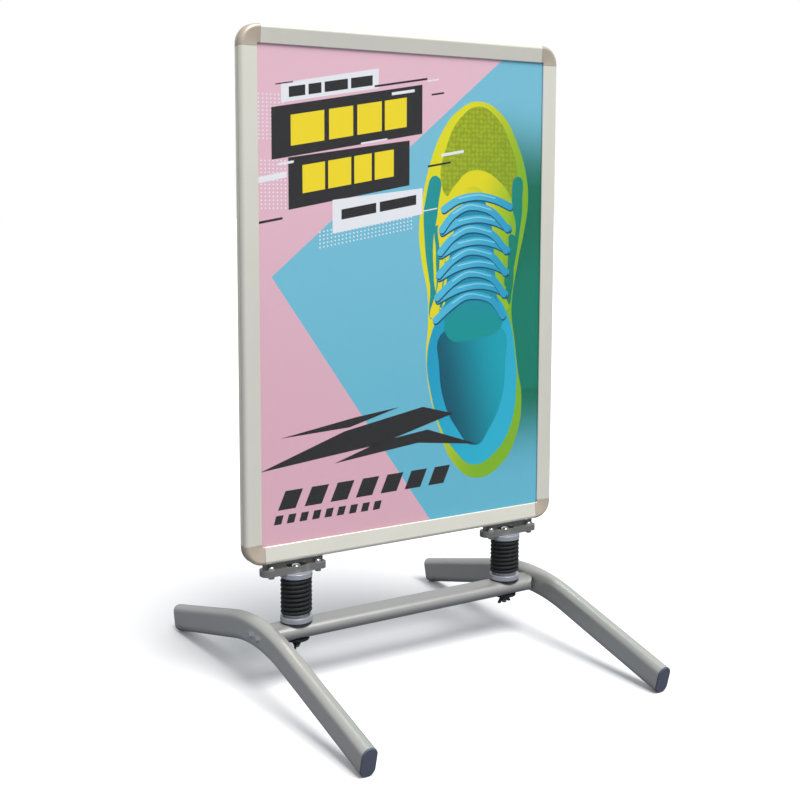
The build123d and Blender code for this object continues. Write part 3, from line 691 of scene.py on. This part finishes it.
# ---- Spring mounts ---------------------------------------------------------------------------
@dataclass
class SpringMounts:
    """The two coil springs and the collars, studs and nuts that hold them."""

    wire: float = 7.0 * MM
    turns: int = 8
    end_gap: float = 0.1 * MM
    black: Colour = paint(10, 12, 15)
    collar: Colour = paint(168, 171, 178)

    def coil(self, hand: Hand, finish: bpy.types.Material) -> bpy.types.Object:
        """One coil, screwed up from a round wire section and closed at both ends.

        Args:
            hand: which spring it stands for.
            finish: its material.

        Returns:
            The coil.
        """
        node = f"spring_{hand.label}"
        low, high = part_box(node)
        axis_x = (low.x + high.x) / 2
        radius = (high.x - low.x - self.wire) / 2
        start = low.z + self.wire / 2 + self.end_gap
        rise = high.z - low.z - self.wire - 2 * self.end_gap
        bpy.ops.object.select_all(action="DESELECT")
        bpy.ops.mesh.primitive_circle_add(vertices=18, radius=self.wire / 2, rotation=(pi / 2, 0, 0),
                                          location=(radius, 0, start))
        coil = bpy.context.active_object
        bpy.ops.object.transform_apply(location=True, rotation=True, scale=True)
        screw = coil.modifiers.new("wind", "SCREW")
        screw.axis, screw.angle = "Z", 2 * pi
        screw.screw_offset, screw.iterations = rise / self.turns, self.turns
        screw.steps = screw.render_steps = 48
        screw.use_normal_calculate = True
        bpy.ops.object.modifier_apply(modifier=screw.name)
        bpy.ops.object.mode_set(mode="EDIT")
        bpy.ops.mesh.select_all(action="SELECT")
        bpy.ops.mesh.remove_doubles(threshold=0.00001)
        bpy.ops.mesh.fill_holes(sides=0)
        bpy.ops.mesh.select_all(action="SELECT")
        bpy.ops.mesh.normals_make_consistent(inside=False)
        bpy.ops.object.mode_set(mode="OBJECT")
        bpy.ops.object.shade_smooth_by_angle(angle=radians(40))
        coil.data.transform(Matrix.Translation((axis_x, 0, 0)))
        coil.name = f"coil_{hand.label}"
        coil.data.materials.append(finish)
        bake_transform(coil)
        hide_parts(node)
        return coil

    def build(self) -> None:
        """Wind both coils and dress what is round them."""
        steel = CoatedMetal("spring_black", self.black, 0.75, 0.0, drift=0.2, rub=0.03,
                            drift_scale=40.0, grain_scale=500.0, grain_depth=0.00005).make()
        for hand in Hand:
            log.info("coil: %s", self.coil(hand, steel).name)
        turned = CoatedMetal("collar_metal", self.collar, 0.32, 0.45, drift=0.08, rub=0.2,
                             drift_scale=30.0).make()
        log.info("collars: %d", dress_all(("upper_spring_plug", "lower_spring_plug"), turned))
        rubber = Moulded("gasket_rubber", paint(38, 38, 40), 0.7, 600.0, 0.00005, 0.3).make()
        dress_all(("gasket",), rubber)
        dark = CoatedMetal("black_zinc", paint(42, 42, 46), 0.42, 0.5, drift=0.2, rub=0.3,
                           drift_scale=70.0, soil_height=0.1).make()
        dress_all(("wing_nut", "stud_washers"), dark)
        dress_all(("spring_stud",), CoatedMetal("stud_steel", paint(120, 120, 122), 0.38, 0.8,
                                                run=Run.ACROSS, grain_scale=900.0).make())


@dataclass
class Brackets:
    """The two pairs of plates under the panel with their bolts and domed nuts."""

    grey: Colour = paint(118, 118, 114)
    bright: Colour = paint(215, 218, 222)

    def build(self) -> None:
        """Dress plates and fixings."""
        plates = CoatedMetal("bracket_grey", self.grey, 0.36, 0.35, drift=0.14, rub=0.35,
                             drift_scale=35.0, grain_scale=600.0, grain_depth=0.00004).make()
        log.info("plates: %d", dress_all(("frame_bracket", "spring_plate"), plates))
        chrome = CoatedMetal("bright_nut", self.bright, 0.12, 0.95, drift=0.06, rub=0.1,
                             drift_scale=80.0, grain_depth=0.000005).make()
        dress_all(("bracket_cap_nuts", "spring_screws"), chrome)
        zinc = CoatedMetal("bolt_zinc", paint(150, 152, 154), 0.3, 0.85, drift=0.12, rub=0.2,
                           drift_scale=90.0).make()
        dress_all(("bracket_bolts",), zinc)
        dress_all(("leg_bolts",), chrome)


@dataclass
class FloorBase:
    """Legs, crossbar and end caps."""

    silver: Colour = paint(180, 180, 174)
    # bar: the leg silver darkened, as painted shade for the shade that falls on the crossbar, not a
    # different coat
    bar: Colour = paint(150, 150, 147)
    cap: Colour = paint(84, 88, 102)

    def build(self) -> None:
        """Dress the base, with dust where it is near the ground."""
        coat = CoatedMetal("silver_coat", self.silver, 0.3, 0.45, drift=0.06, rub=0.1,
                           drift_scale=7.0, grain_scale=820.0, grain_depth=0.00004,
                           soil_height=0.03).make()
        dress_all(("leg_left", "leg_right"), coat)
        # The crossbar gets the darker copy of the leg silver: painted shade
        dress("crossbar", CoatedMetal("crossbar_painted_shade_coat", self.bar, 0.34, 0.35, drift=0.06, rub=0.1,
                                      drift_scale=7.0, grain_scale=820.0,
                                      grain_depth=0.00004).make())
        caps = Moulded("cap_plastic", self.cap, 0.5, 500.0, 0.00006, 0.4).make()
        log.info("caps and plugs: %d", dress_all(("leg_cap", "crossbar_plug"), caps))


# ---- Studio ----------------------------------------------------------------------------------
@dataclass
class Studio:
    """Pale floor, soft light and the camera."""

    floor_colour: Colour = (0.85, 0.85, 0.85)
    bounce_colour: Colour = (0.15, 0.16, 0.19)   # what the floor gives back to the object
    camera_place: Place = (-1.1525, -1.8301, 0.8492)
    camera_turn: Place = (83.568, -0.17, -32.094)
    lens: float = 55.60
    shift: Point = (-0.006, -0.090)
    softness: float = 35.0                       # how wide the overhead light is, degrees
    overhead: Place = (0.08, -0.56, 1.0)         # the direction it comes from
    strength: float = 3.6
    fill: float = 0.68                           # strength of the surround on the object

    def floor(self) -> None:
        """A wide, flat and pale floor."""
        bpy.ops.object.select_all(action="DESELECT")
        bpy.ops.mesh.primitive_plane_add(size=60, location=(0, 0, 0))
        ground = bpy.context.active_object
        ground.name = "studio_floor"
        shader = ShaderTree("studio_floor")
        tint = tuple(channel * 0.985 for channel in self.floor_colour)
        pale = shader.blend(shader.noise(1.5, 2.0), tint, self.floor_colour)
        seen = shader.node("LightPath").outputs["Is Camera Ray"]
        shader.set(Base_Color=shader.blend(seen, self.bounce_colour, pale),
                   Roughness=0.9, Specular_IOR_Level=0.1)
        ground.data.materials.append(shader.material)

    def light(self, name: str, place: Place, strength: float) -> None:
        """Add a far, broad and soft light.

        Args:
            name: its name.
            place: the direction it comes from.
            strength: in watts per square metre.
        """
        lamp = bpy.data.lights.new(name, "SUN")
        lamp.energy, lamp.angle = strength, radians(self.softness)
        item = bpy.data.objects.new(name, lamp)
        bpy.context.scene.collection.objects.link(item)
        item.rotation_euler = Vector(place).to_track_quat("Z", "Y").to_euler()

    def surround(self) -> None:
        """An even pale surround that also fills the shadows."""
        world = bpy.data.worlds.new("studio")
        bpy.context.scene.world = world
        world.use_nodes = True
        nodes, links = world.node_tree.nodes, world.node_tree.links
        seen = nodes.new("ShaderNodeLightPath")
        mixer = nodes.new("ShaderNodeMixShader")
        fill, back = nodes["Background"], nodes.new("ShaderNodeBackground")
        fill.inputs[0].default_value, fill.inputs[1].default_value = (0.94, 0.96, 1, 1), self.fill
        back.inputs[0].default_value, back.inputs[1].default_value = (1, 1, 1, 1), 1.0
        links.new(seen.outputs["Is Camera Ray"], mixer.inputs[0])
        links.new(fill.outputs[0], mixer.inputs[1])
        links.new(back.outputs[0], mixer.inputs[2])
        links.new(mixer.outputs[0], nodes["World Output"].inputs[0])

    def camera(self) -> None:
        """The camera at the product view."""
        data = bpy.data.cameras.new("product_view")
        data.lens, data.sensor_width = self.lens, 36.0
        data.shift_x, data.shift_y = self.shift
        data.clip_end = 100.0
        item = bpy.data.objects.new("product_view", data)
        bpy.context.scene.collection.objects.link(item)
        item.location = self.camera_place
        item.rotation_euler = tuple(radians(angle) for angle in self.camera_turn)
        bpy.context.scene.camera = item

    def build(self) -> None:
        """Set the stage."""
        bpy.context.scene.view_settings.view_transform = "Standard"
        self.camera()
        self.floor()
        self.surround()
        self.light("overhead", self.overhead, self.strength)
        log.info("studio ready")


def main() -> None:
    """Build every sub-assembly in order and log each one as it is built."""
    logging.basicConfig(level=logging.INFO, format="%(name)s: %(message)s")
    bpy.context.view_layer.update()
    for part in (Studio(), SnapFrames(), PosterPrint(), SpringMounts(), Brackets(), FloorBase()):
        part.build()
        log.info("%s built", type(part).__name__)


if __name__ == "__main__":
    main()
